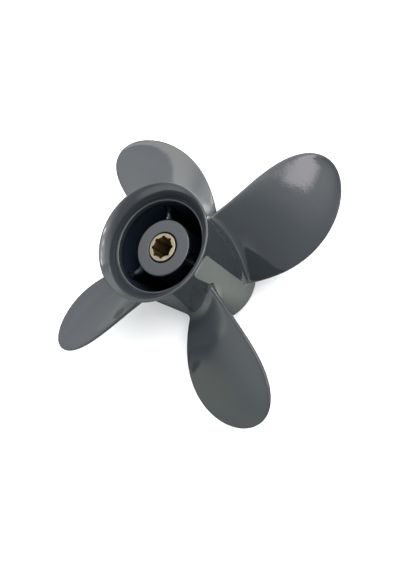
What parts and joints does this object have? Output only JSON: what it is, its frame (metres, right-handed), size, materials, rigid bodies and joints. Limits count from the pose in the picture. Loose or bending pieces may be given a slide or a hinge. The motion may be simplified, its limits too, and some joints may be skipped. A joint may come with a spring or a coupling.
{
  "type": "boat propeller",
  "caption": "Four-bladed right-hand propeller for a small outboard boat motor, painted grey, with a flared hub that carries the exhaust and a splined brass sleeve in a rubber bush",
  "frame": {"origin": "middle of the barrel's forward end face, on the shaft's axis, at the lowest point of the part", "axes": "+Z points aft along the shaft, and blade 1 lies along +X at its root"},
  "size_m": [0.233, 0.233, 0.1009],
  "materials": {
    "grey_paint": "gloss grey enamel over cast aluminium",
    "rubber": "matt black moulded rubber",
    "brass": "turned and broached brass"
  },
  "bodies": {
    "root": {"propeller_casting": "grey_paint", "rubber_bush": "rubber", "splined_sleeve": "brass"}
  },
  "joints": []
}
